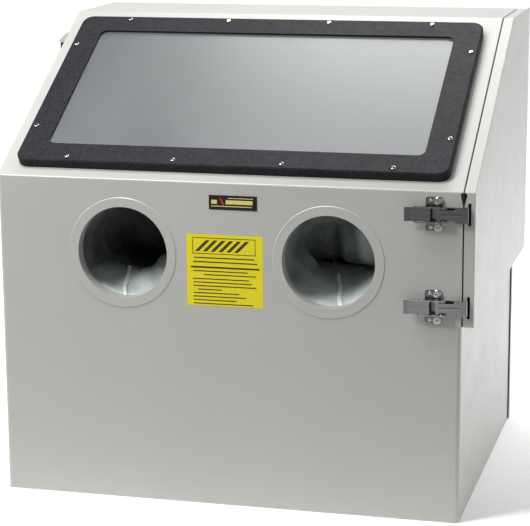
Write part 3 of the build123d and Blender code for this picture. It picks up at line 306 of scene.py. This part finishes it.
SHOWN = {
    "enamel": (
        "left_side_panel", "right_side_panel", "front_wrap", "back_panel", "door_panel",
        "intake_hood", "arm_collar_left", "arm_collar_right",
    ),
    "enamel_inside": (
        "floor_pan", "media_hopper", "grate_ledge_front", "grate_ledge_rear", "hopper_legs",
        "door_rear_channel", "exhaust_baffle", "lamp_housing",
    ),
    "charcoal": ("window_frame",),
    "seal": ("window_gasket", "door_gasket", "back_seal_left", "back_seal_right"),
    "glass": ("window_glass",),
    "steel_dark": ("latch_base_upper", "latch_lever_upper", "draw_plate_upper", "latch_base_lower"),
    "steel": ("latch_lever_lower", "draw_plate_lower"),
    "chrome": (
        "latch_screws", "latch_rivets", "latch_pivots", "window_screws", "draw_pin_upper",
        "draw_pin_lower",
    ),
    "zinc": (
        "back_panel_screws", "hinge_leaf_body", "hinge_leaf_door", "hinge_pin",
        "glove_clamp_left", "glove_clamp_right", "gun_holder", "pickup_tube",
        "gun_trigger_pin", "gun_trigger",
    ),
    "rods": ("work_grate",),
    "cast": ("gun_body",),
    "nozzle": ("gun_nozzle",),
    "foam": ("intake_filter",),
    "black": ("exhaust_collar", "lamp_cable_gland"),
    "brass": ("air_inlet",),
    "tube": ("lamp_tube",),
    "lens": ("lamp_lens",),
    "yellow": ("safety_label",),
    "plate_black": ("name_plate",),
}
for look_name, names in SHOWN.items():
    for name in names:
        nodes[name].data.materials.clear()
        nodes[name].data.materials.append(looks[look_name])


# ---- mesh helpers -------------------------------------------------------------------
def piece(name, bm, look):
    """A finished mesh as a piece that rides on the cabinet."""
    bmesh.ops.recalc_face_normals(bm, faces=bm.faces)
    mesh = bpy.data.meshes.new(name)
    bm.to_mesh(mesh)
    bm.free()
    for polygon in mesh.polygons:
        polygon.use_smooth = True
    made = bpy.data.objects.new(name, mesh)
    bpy.context.scene.collection.objects.link(made)
    made.data.materials.append(looks[look])
    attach(made, "cabinet")
    return made


def join_rings(bm, rings):
    """Faces between rings of points that follow one another."""
    for low, high in zip(rings, rings[1:]):
        for k in range(len(low)):
            n = (k + 1) % len(low)
            bm.faces.new((low[k], low[n], high[n], high[k]))


def settle(obj):
    """Applies the piece's modifiers to its mesh."""
    graph = bpy.context.evaluated_depsgraph_get()
    settled = bpy.data.meshes.new_from_object(obj.evaluated_get(graph))
    obj.modifiers.clear()
    obj.data = settled


def smoothstep(value, low, high):
    """0 below low, 1 above high and eased between them."""
    t = min(1.0, max(0.0, (value - low) / (high - low)))
    return t * t * (3 - 2 * t)


def between(sections, at):
    """The numbers of a section at a distance, on a straight line between the listed ones."""
    for low, high in zip(sections, sections[1:]):
        if at <= high[0]:
            t = (at - low[0]) / (high[0] - low[0])
            return [a + (b - a) * t for a, b in zip(low[1:], high[1:])]
    return list(sections[-1][1:])


# ---- gloves -------------------------------------------------------------------------
# Each sleeve is round where it is clamped on its collar. Inside it sags until its top lies
# on its bottom, and it opens again at the wrist. Each section is distance from the sleeve's
# mouth, height of the middle, half width and half height, all in millimetres.
SLEEVES = {
    "left": [
        (0, 358, 68.1, 68.1),
        (15, 358, 68.0, 68.0),
        (40, 357, 65.5, 65.0),
        (68, 357, 64.0, 60.0),
        (92, 358, 62.0, 55.0),
        (118, 352, 60.0, 49.0),
        (146, 338, 57.0, 34.0),
        (170, 321, 54.0, 12.0),
        (190, 319, 50.0, 16.0),
        (214, 326, 46.5, 35.5),
    ],
    "right": [
        (0, 358, 68.1, 68.1),
        (15, 358, 68.0, 68.0),
        (40, 358, 65.5, 64.0),
        (70, 359, 64.0, 57.0),
        (98, 352, 62.0, 44.0),
        (122, 342, 60.0, 26.0),
        (140, 331, 58.0, 9.0),
        (156, 325, 55.0, 5.0),
        (180, 322, 50.0, 15.0),
        (214, 326, 46.5, 35.5),
    ],
}
# Where the cloth is pushed in: angle and distance, reach in both, and depth.
DENTS = {
    "left": [(-105, 78, 52, 20, 13), (-40, 82, 38, 22, 20)],
    "right": [(-150, 84, 42, 25, 15), (18, 92, 40, 26, 22)],
}
SHEET_METAL = 0.0015                   # the floor pan stands this far behind the front face
SLEEVE_START = 0.004                   # from the front face to the sleeve's mouth
AROUND = 120                           # points around a sleeve
ALONG = 100                            # rings along it
CLOTH = 0.0012                         # thickness
LOOSE = (0.018, 0.055)                 # distances over which the cloth comes off its collar
BUNCHED = (0.150, 0.200)               # distances over which the gathers at the wrist set in
RIPPLES = ((1.4, 0.0034), (3.3, 0.0015))     # scale and height of the cloth's unevenness
RIPPLE_LENGTH = 16                     # its scale along the sleeve
RIPPLE_SEED = {"left": 7.3, "right": 2.1}
GATHER = (0.0135, 0.0014)              # pitch and depth of the gathers
GATHER_WANDER = (0.9, 2.2)             # scale and size of their unevenness, in radians
HANGING_FROM = (0.080, 0.125)          # distances over which the right sleeve's top sags
HANGING_TO = (0.165, 0.185)            # distances over which it ends
HANGING_UP = (-0.30, 0.25)             # only the upper part, -1 being the bottom and 1 the top
LEAF_EDGE = -0.020                     # X of its upright fold, from the sleeve's middle
LEAF_HEIGHT = 0.33                     # height at which the fold stands there
LEAF_LEAN = 0.12                       # how much the fold leans
LEAF_TURN = (0.000, 0.020)             # X from the fold over which the cloth steps forward
LEAF_STEP = 0.026                      # how much nearer the mouth it then stands
CREASE = (0.0045, 0.014)               # half width and depth of the crease along the fold
face_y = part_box("floor_pan")[0].y - SHEET_METAL


def dent(side, angle, distance):
    """How far the cloth is pushed in there."""
    total = 0.0
    for at_angle, at_distance, wide, deep, push in DENTS[side]:
        apart = (math.degrees(angle) - at_angle + 180) % 360 - 180
        along = 1000 * distance - at_distance
        total += push * math.exp(-((apart / wide) ** 2) - (along / deep) ** 2)
    return total / 1000


def leaf(x, up, z, distance):
    """How far the right sleeve's hanging top moves in or out along its upright fold."""
    hanging = smoothstep(distance, *HANGING_FROM) * (1 - smoothstep(distance, *HANGING_TO))
    hanging *= smoothstep(up, *HANGING_UP)
    beside = x - mid_x["right"] - LEAF_EDGE - LEAF_LEAN * (z - LEAF_HEIGHT)
    crease = CREASE[1] * math.exp(-((beside / CREASE[0]) ** 2))
    return hanging * (crease - LEAF_STEP * smoothstep(beside, *LEAF_TURN))


def sleeve_point(side, angle, distance):
    """A point of the sleeve's outer surface. Angle 0 is to the right and turns upwards."""
    middle, half_width, half_height = between(SLEEVES[side], distance * 1000)
    across, up = math.cos(angle), math.sin(angle)
    loose = smoothstep(distance, *LOOSE)
    bunch = smoothstep(distance, *BUNCHED)
    seed = Vector((RIPPLE_SEED[side], 0, 0))
    around = Vector((across, up, distance * RIPPLE_LENGTH))
    ripple = sum(noise.noise(around * scale + seed) * height for scale, height in RIPPLES)
    wander = GATHER_WANDER[1] * noise.noise(around * GATHER_WANDER[0])
    turn = distance * 2 * math.pi / GATHER[0] + wander
    gather = math.sin(turn) * GATHER[1] * bunch
    swell = loose * (ripple - dent(side, angle, distance)) + gather
    x = mid_x[side] + (half_width / 1000 + swell) * across
    z = (middle + half_height * up) / 1000 + swell * up
    y = face_y + SLEEVE_START + distance
    if side == "right":
        y += leaf(x, up, z, distance)
    return Vector((x, y, z))


def sleeve(side):
    """The open cloth tube of one sleeve."""
    bm = bmesh.new()
    length = SLEEVES[side][-1][0] / 1000
    rings = []
    for i in range(ALONG + 1):
        distance = length * i / ALONG
        ring = [
            bm.verts.new(sleeve_point(side, 2 * math.pi * k / AROUND, distance))
            for k in range(AROUND)
        ]
        rings.append(ring)
    join_rings(bm, rings)
    made = piece(f"sleeve_{side}", bm, f"lining_{side}")
    thick = made.modifiers.new("thick", "SOLIDIFY")
    thick.thickness = CLOTH
    thick.offset = -1
    settle(made)
    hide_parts(f"glove_{side}")


# The seam tape of each sleeve: X from the sleeve's middle at its near and far end, and how
# far in it ends.
TAPES = {"left": (-0.004, -0.025, 0.082), "right": (0.013, -0.010, 0.110)}
TAPE_START = 0.0155
TAPE_STEPS = 70                        # rows along the tape
TAPE_SIDE = 3                          # strips on each side of its middle
TAPE_STRIP = 0.00105                   # width of one
TAPE_CLOTH = 0.0008                    # thickness
TAPE_LIFT = 0.0016                     # height of its edges above the lining
TAPE_CROWN = 0.0011                    # how much higher its middle is
TAPE_PUCKER = (0.006, 0.0004)          # pitch and height of its puckers
TAPE_WANDER = (110, 0.0008)            # how fast and how far it strays from a straight line


def seam_tape(side):
    """The pale tape sewn over the seam inside the sleeve's bottom."""
    bm = bmesh.new()
    rows = []
    near_x, far_x, end = TAPES[side]
    for i in range(TAPE_STEPS + 1):
        distance = TAPE_START + (end - TAPE_START) * i / TAPE_STEPS
        half_width = between(SLEEVES[side], distance * 1000)[1] / 1000
        wander = TAPE_WANDER[1] * math.sin(distance * TAPE_WANDER[0])
        middle_x = near_x + (far_x - near_x) * i / TAPE_STEPS + wander
        pucker = TAPE_PUCKER[1] * math.sin(distance * 2 * math.pi / TAPE_PUCKER[0])
        row = []
        for j in range(-TAPE_SIDE, TAPE_SIDE + 1):
            offset = middle_x + j * TAPE_STRIP
            point = sleeve_point(side, -math.acos(offset / half_width), distance)
            rise = TAPE_LIFT + TAPE_CROWN * (1 - (j / TAPE_SIDE) ** 2) + pucker
            row.append(bm.verts.new(point + Vector((0, 0, rise))))
        rows.append(row)
    for low, high in zip(rows, rows[1:]):
        for j in range(2 * TAPE_SIDE):
            bm.faces.new((low[j], low[j + 1], high[j + 1], high[j]))
    made = piece(f"seam_tape_{side}", bm, "tape")
    thick = made.modifiers.new("thick", "SOLIDIFY")
    thick.thickness = TAPE_CLOTH
    thick.offset = 0
    settle(made)


def ball_chain(bm, points):
    """Overlapping balls along a line, given as (place, radius) pairs."""
    for (a, ra), (b, rb) in zip(points, points[1:]):
        steps = max(2, int((b - a).length / 0.003))
        for i in range(steps + 1):
            t = i / steps
            radius = ra + (rb - ra) * t
            bmesh.ops.create_icosphere(
                bm, subdivisions=2, radius=radius, matrix=Matrix.Translation(a.lerp(b, t))
            )


# The hand in millimetres: X from the sleeve's middle, Y from the front face, and height.
# Palm: share of a row's X, Y, height, and the radius in a part that shrinks towards the
# palm's sides and a fixed part. Fingers: X, Y of the tip, radius. Knuckles: share of a
# finger's X, Y, height, and what they add to its radius. Thumb: X, Y, height, radius.
PALM = (
    (0.95, 222, 324, 17.5, 6.0),
    (1.00, 258, 319, 16.5, 3.0),
    (1.05, 305, 317, 14.0, 3.0),
)
PALM_ROWS = range(-26, 27, 4)
PALM_HALF_WIDTH = 30
FINGERS = ((-32, 360, 9.8), (-11, 377, 10.4), (11, 379, 10.4), (32, 366, 10.0))
KNUCKLES = ((0.85, 300, 317, 2), (1, 335, 319, 0))
FINGER_END = (1.12, -9, 315, -1.5)     # like a knuckle, but with Y from the tip
THUMB = ((22, 240, 320, 15.0), (42, 270, 318, 11.8), (46, 302, 316, 9.5))
SKIN_CELL = 0.0024                     # size of the cells the hand is remeshed with
SKIN_SWELL = ((55, 0.0010), (130, 0.0005))   # scale and height of the rubber's unevenness


def palm_and_fingers(side):
    """The chains of balls that make up a hand."""
    outward = 1 if side == "left" else -1
    centre = Vector((mid_x[side], face_y, 0))

    def ball(x, y, z, radius):
        return centre + Vector((x, y, z)) / 1000, radius / 1000

    chains = []
    for x in PALM_ROWS:
        wide = 1 - 0.3 * (x / PALM_HALF_WIDTH) ** 2
        row = [ball(share * x, y, z, swell * wide + least) for share, y, z, swell, least in PALM]
        chains.append(row)
    for x, tip, radius in FINGERS:
        finger = [ball(share * x, y, z, radius + more) for share, y, z, more in KNUCKLES]
        share, back, z, more = FINGER_END
        finger.append(ball(share * x, tip + back, z, radius + more))
        chains.append(finger)
    chains.append([ball(outward * x, y, z, radius) for x, y, z, radius in THUMB])
    return chains


def hand(side):
    """An empty rubber glove, lying level: palm, four fingers and a thumb."""
    bm = bmesh.new()
    for chain in palm_and_fingers(side):
        ball_chain(bm, chain)
    made = piece(f"hand_{side}", bm, "glove_rubber")
    skin = made.modifiers.new("skin", "REMESH")
    skin.mode = "VOXEL"
    skin.voxel_size = SKIN_CELL
    even = made.modifiers.new("even", "SMOOTH")
    even.factor = 0.6
    even.iterations = 7
    settle(made)
    for vertex in made.data.vertices:
        swell = sum(noise.noise(vertex.co * scale) * height for scale, height in SKIN_SWELL)
        vertex.co += vertex.normal * swell
    for polygon in made.data.polygons:
        polygon.use_smooth = True


CUFF_AT = 0.212                        # from the sleeve's mouth
CUFF_TURNS, CUFF_SIDES = 96, 14        # points along the roll and around it
CUFF_ROLL = (0.0019, 0.0052)           # half thickness and half length of the roll
CUFF_LIFT = 0.0004                     # how far the roll's middle stands off the sleeve
CUFF_PINCH = (24, 0.10)                # tucks around the wrist and their share of the roll


def cuff(side):
    """The rolled elastic edge that joins sleeve and hand."""
    bm = bmesh.new()
    rings = []
    for i in range(CUFF_TURNS):
        angle = 2 * math.pi * i / CUFF_TURNS
        centre = sleeve_point(side, angle, CUFF_AT)
        out = Vector((math.cos(angle), 0, math.sin(angle)))
        pinch = 1 + CUFF_PINCH[1] * math.sin(angle * CUFF_PINCH[0])
        ring = []
        for k in range(CUFF_SIDES):
            roll = 2 * math.pi * k / CUFF_SIDES
            reach = CUFF_ROLL[0] * pinch * math.cos(roll) + CUFF_LIFT
            along = Vector((0, CUFF_ROLL[1] * math.sin(roll), 0))
            ring.append(bm.verts.new(centre + out * reach + along))
        rings.append(ring)
    join_rings(bm, rings + rings[:1])
    made = piece(f"cuff_{side}", bm, "glove_rubber")


for side in ("left", "right"):
    sleeve(side)
    seam_tape(side)
    hand(side)
    cuff(side)


# ---- print on the two plates --------------------------------------------------------
PRINT = 0.00012                        # how far the ink stands off the plates


def flat_shapes(name, node, outlines, look):
    """Thin flat shapes on a plate, from outlines in millimetres from its top left corner."""
    low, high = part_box(node)
    bm = bmesh.new()
    for outline in outlines:
        near = []
        far = []
        for x, down in outline:
            place_x, place_z = low.x + x / 1000, high.z - down / 1000
            near.append(bm.verts.new((place_x, low.y - PRINT, place_z)))
            far.append(bm.verts.new((place_x, low.y, place_z)))
        bm.faces.new(near)
        bm.faces.new(list(reversed(far)))
        for i in range(len(outline)):
            n = (i + 1) % len(outline)
            bm.faces.new((near[i], far[i], far[n], near[n]))
    made = piece(name, bm, look)
    for polygon in made.data.polygons:
        polygon.use_smooth = False
    return made


def bar(x, down, width, height):
    """The outline of an upright rectangle."""
    return [(x, down), (x + width, down), (x + width, down + height), (x, down + height)]


def border(x, down, width, height, line):
    """Four bars around a rectangle."""
    return [
        bar(x, down, width, line),
        bar(x, down + height - line, width, line),
        bar(x, down + line, line, height - 2 * line),
        bar(x + width - line, down + line, line, height - 2 * line),
    ]


def stripes(x, down, width, height, pitch):
    """Slanted bars that fill a rectangle."""
    count = int((width - height) / pitch)
    return [
        [
            (x + k * pitch + height, down),
            (x + k * pitch + height + pitch / 2, down),
            (x + k * pitch + pitch / 2, down + height),
            (x + k * pitch, down + height),
        ]
        for k in range(count)
    ]


# The plates carry no wording, only plain shapes in millimetres from the top left corner.
# Bars are start, distance from the top, length and height. A border adds the thickness of
# its line and stripes add their pitch.
TITLE_BORDER = (8.5, 4.5, 90, 23, 0.9)
TITLE_STRIPES = (12, 8, 84, 16, 11.2)
ROWS = [
    (11, 32, 86, 1.6), (9, 38, 92, 1.6), (6, 45, 98, 2.4), (9, 51, 78, 1.4), (25, 56, 74, 1.4),
    (9, 62, 80, 1.4), (9, 67, 84, 1.4), (9, 72, 90, 1.4), (16, 77, 34, 1.4), (9, 82, 66, 1.4),
    (9, 87, 76, 1.4), (9, 92, 62, 1.4), (9, 97, 86, 1.4),
]
NAME_BARS = [(3, 14.6, 58, 1.1), (27, 3.2, 36, 0.9), (3.5, 6.5, 8, 5.5), (24, 6.5, 38, 5.5)]
ACCENT = [(14.5, 4.0), (17.8, 4.0), (22.5, 13.2), (19.2, 13.2)]        # its corners

label_shapes = border(*TITLE_BORDER) + stripes(*TITLE_STRIPES) + [bar(*row) for row in ROWS]
label_print = flat_shapes("label_print", "safety_label", label_shapes, "ink")
name_shapes = [bar(*row) for row in NAME_BARS]
plate_print = flat_shapes("plate_print", "name_plate", name_shapes, "ink_yellow")
plate_accent = flat_shapes("plate_accent", "name_plate", [ACCENT], "ink_red")


# ---- floor, light and camera --------------------------------------------------------
FLOOR_RADIUS = 4.6
BEND_RADIUS = 1.5                      # where the floor curves up into the wall
BEND_STEPS = 12
WALL_TOP = 5.0
BACKDROP_SIDES = 72
PAPER = (0.84, 0.84, 0.84)
PAPER_FRONT = (0.32, 0.32, 0.32)       # darker in front, so less light comes back up
PAPER_CHANGE = (-0.65, -0.32)          # Y over which it turns pale
GLOW = (0.10, 0.60)                    # glow in front and behind
GLOW_CHANGE = (-0.45, 0.60)            # Y over which it grows
GLOW_ABOVE = 0.15                      # share of the glow that is left high up
GLOW_HEIGHT = (0.5, 1.3)               # heights over which it fades


def backdrop_mesh():
    """A round floor with a wall around it."""
    bm = bmesh.new()
    line = [(FLOOR_RADIUS, 0.0)]
    for k in range(1, BEND_STEPS + 1):
        angle = math.pi / 2 * k / BEND_STEPS
        out, up = BEND_RADIUS * math.sin(angle), BEND_RADIUS * (1 - math.cos(angle))
        line.append((FLOOR_RADIUS + out, up))
    line.append((FLOOR_RADIUS + BEND_RADIUS, WALL_TOP))
    turns = [2 * math.pi * k / BACKDROP_SIDES for k in range(BACKDROP_SIDES)]
    rings = [[bm.verts.new((r * math.cos(a), r * math.sin(a), z)) for a in turns] for r, z in line]
    bm.faces.new(rings[0])
    join_rings(bm, rings)
    mesh = bpy.data.meshes.new("backdrop")
    bm.to_mesh(mesh)
    bm.free()
    for polygon in mesh.polygons:
        polygon.use_smooth = len(polygon.vertices) == 4
    return mesh


def paper():
    """Pale paper: darker in front, and aglow behind the cabinet."""
    look = Look("paper", PAPER, 0.9)
    look.shader.inputs["Emission Color"].default_value = (1, 1, 1, 1)
    spot = look.node("ShaderNodeSeparateXYZ", {0: look.place()}).outputs
    from_front = look.span(spot["Y"], 0, 1, *PAPER_CHANGE)
    look.drive("Base Color", look.blend(from_front, PAPER_FRONT, PAPER))
    behind = look.span(spot["Y"], *GLOW, *GLOW_CHANGE)
    low = look.span(spot["Z"], 1, GLOW_ABOVE, *GLOW_HEIGHT)
    look.drive("Emission Strength", look.times(behind, low))
    return look.material


def backdrop():
    """The floor and wall around the cabinet."""
    made = bpy.data.objects.new("backdrop", backdrop_mesh())
    bpy.context.scene.collection.objects.link(made)
    made.data.materials.append(paper())


# Each light's name, place, aim, size and power in watts.
LIGHTS = (
    ("overhead", (0.28, 1.48, 2.3), (0.28, 1.48, 0), (1.9, 1.4), 45),
    ("right", (2.6, -0.6, 1.0), (0.2, 0, 0.35), (1.4, 1.4), 6),
    ("high", (-0.6, -0.75, 2.6), (0, -0.2, 0.35), (0.8, 0.8), 42),
    ("left", (-1.05, -1.30, 1.75), (-0.1, -0.2, 0.45), (0.5, 0.5), 29),
)


def softbox(name, place, aim, size, power):
    """A rectangular area light that faces a point."""
    light = bpy.data.lights.new(name, "AREA")
    light.shape = "RECTANGLE"
    light.size, light.size_y = size
    light.energy = power
    made = bpy.data.objects.new(name, light)
    bpy.context.scene.collection.objects.link(made)
    made.location = place
    made.rotation_euler = (Vector(aim) - Vector(place)).to_track_quat("-Z", "Y").to_euler()


SKY_TONE = (0.92, 0.95, 1.0, 1)
SKY_STRENGTH = 0.13


def sky():
    """Weak cool light from all around."""
    world = bpy.data.worlds.new("sky")
    bpy.context.scene.world = world
    world.use_nodes = True
    shade = next(n for n in world.node_tree.nodes if n.type == "BACKGROUND")
    shade.inputs["Color"].default_value = SKY_TONE
    shade.inputs["Strength"].default_value = SKY_STRENGTH


CAMERA_PLACE = Vector((0.7151, -2.7635, 0.9223))
CAMERA_TURN = math.radians(14.7)       # to the left of straight ahead
CAMERA_TILT = math.radians(12.4)       # downwards
CAMERA_ROLL = math.radians(0.4)
SENSOR = 36                            # mm
LENS = 131.4815                        # mm


def camera():
    """The camera at the photograph's viewing angle."""
    flat = Vector((-math.sin(CAMERA_TURN), math.cos(CAMERA_TURN), 0))
    ahead = flat * math.cos(CAMERA_TILT) - Vector((0, 0, math.sin(CAMERA_TILT)))
    right = ahead.cross(Vector((0, 0, 1))).normalized()
    right = Matrix.Rotation(CAMERA_ROLL, 3, ahead) @ right
    up = right.cross(ahead)
    view = bpy.data.cameras.new("camera")
    view.sensor_width = SENSOR
    view.lens = LENS
    made = bpy.data.objects.new("camera", view)
    bpy.context.scene.collection.objects.link(made)
    axes = Matrix((right, up, -ahead)).transposed().to_4x4()
    made.matrix_world = Matrix.Translation(CAMERA_PLACE) @ axes
    bpy.context.scene.camera = made


backdrop()
sky()
for light in LIGHTS:
    softbox(*light)
camera()
bpy.context.scene.view_settings.view_transform = "Standard"
